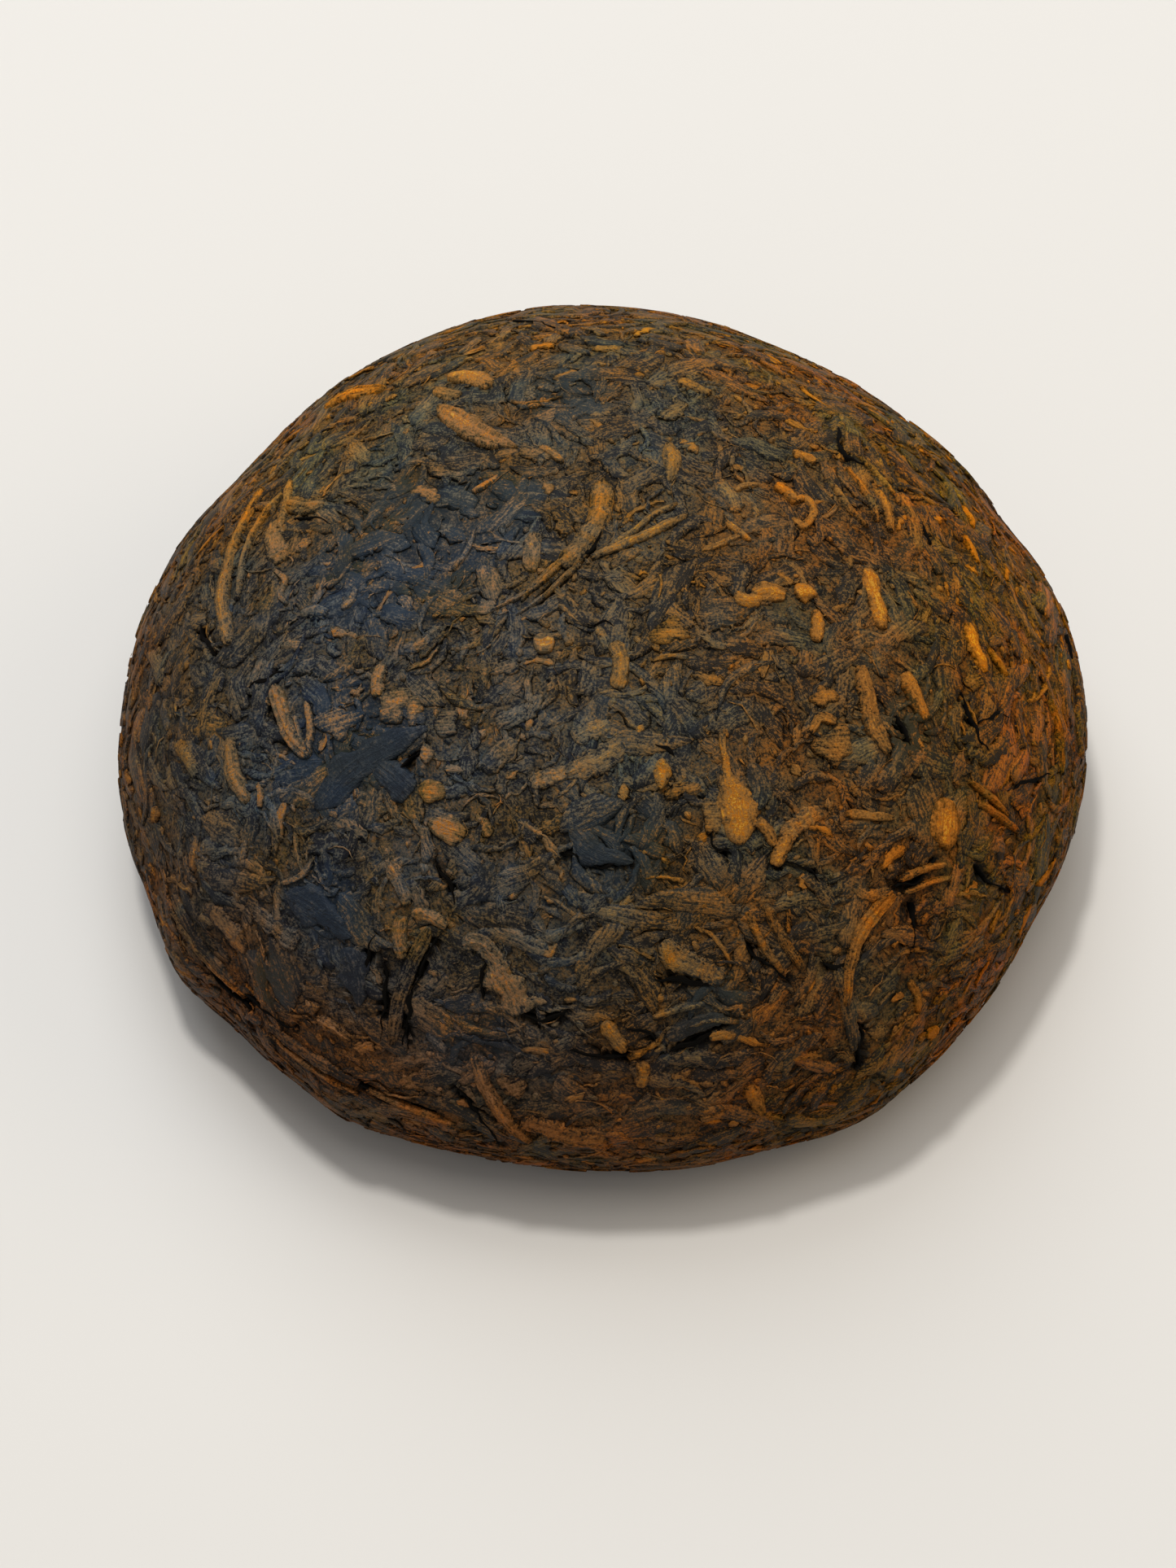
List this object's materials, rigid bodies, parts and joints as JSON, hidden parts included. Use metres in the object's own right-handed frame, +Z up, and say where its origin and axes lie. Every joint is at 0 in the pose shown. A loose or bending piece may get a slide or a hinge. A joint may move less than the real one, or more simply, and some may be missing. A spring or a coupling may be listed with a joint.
{
  "type": "pu-erh tuocha",
  "caption": "Domed nest of dark pressed pu-erh tea leaf with a rounded edge, a flat resting rim and a hollow underneath.",
  "frame": {"origin": "middle of the underside, in the plane of the flat rim that it rests on", "axes": "+Z up through the crown; -Y faces the picture's camera"},
  "size_m": [0.0838, 0.083, 0.0387],
  "materials": {
    "pressed_leaf": "dry pressed tea leaf, near black with brown, satin where the press smoothed it",
    "dark_leaf": "rolled leaf, black to blue-black, faint sheen",
    "brown_leaf": "brown leaf, fibrous and matt",
    "golden_bud": "golden to tan buds and leaf tips, downy and matt",
    "stem": "tan to grey-brown stems, ridged and matt"
  },
  "bodies": {
    "root": {"tea_nest": "pressed_leaf"}
  },
  "joints": []
}
